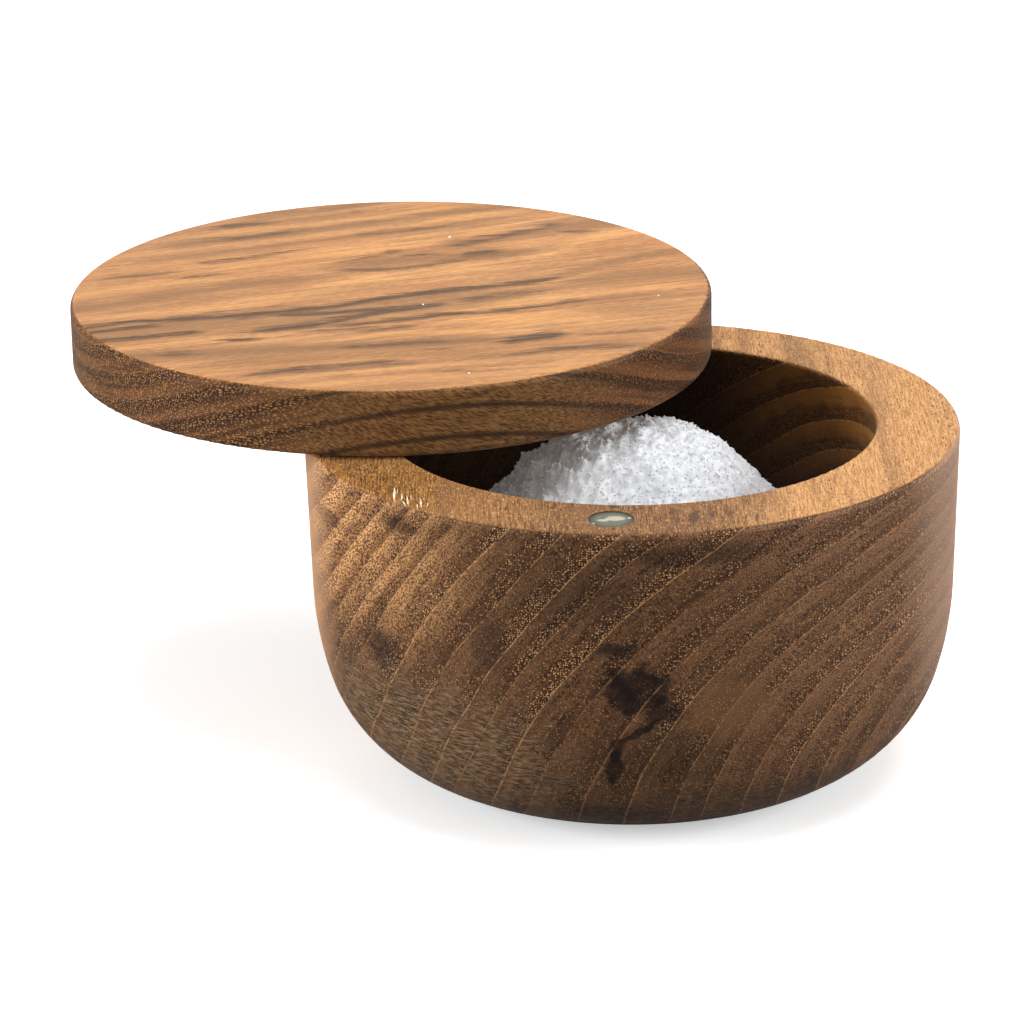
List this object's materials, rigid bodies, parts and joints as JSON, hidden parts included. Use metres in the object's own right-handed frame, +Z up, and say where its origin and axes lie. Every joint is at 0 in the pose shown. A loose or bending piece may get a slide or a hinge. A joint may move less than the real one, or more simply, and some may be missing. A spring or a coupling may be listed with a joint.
{
  "type": "salt box with swivel lid",
  "caption": "Round turned wooden salt box with a thick-walled bowl and a flat disc lid that swivels on a hidden pin and is held shut by magnets.",
  "frame": {"origin": "centre of the flat foot, on the axis of the bowl", "axes": "+Z up along the bowl's axis; +Y from the axis to the lid's pivot pin, so the bowl's magnet is on the -Y side; at rest the lid is swung 71 degrees open, clockwise from above, and joint value +71 degrees closes it"},
  "size_m": [0.1564, 0.1434, 0.0705],
  "materials": {
    "bowl_wood": "oiled",
    "lid_wood": "oiled",
    "dowel_steel": "ground",
    "magnet_nickel": "plated",
    "epoxy": "cured"
  },
  "bodies": {
    "base": {"bowl": "bowl_wood", "pivot_dowel": "dowel_steel", "bowl_magnet": "magnet_nickel", "bowl_magnet_glue": "epoxy"},
    "cover": {"lid": "lid_wood", "lid_magnet": "magnet_nickel", "lid_magnet_glue": "epoxy"}
  },
  "joints": [
    {"name": "lid_swivel", "type": "hinge", "parent": "base", "child": "cover", "pos_m": [0, 0.048, 0.0585], "axis": [0, 0, 1], "continuous": true}
  ]
}
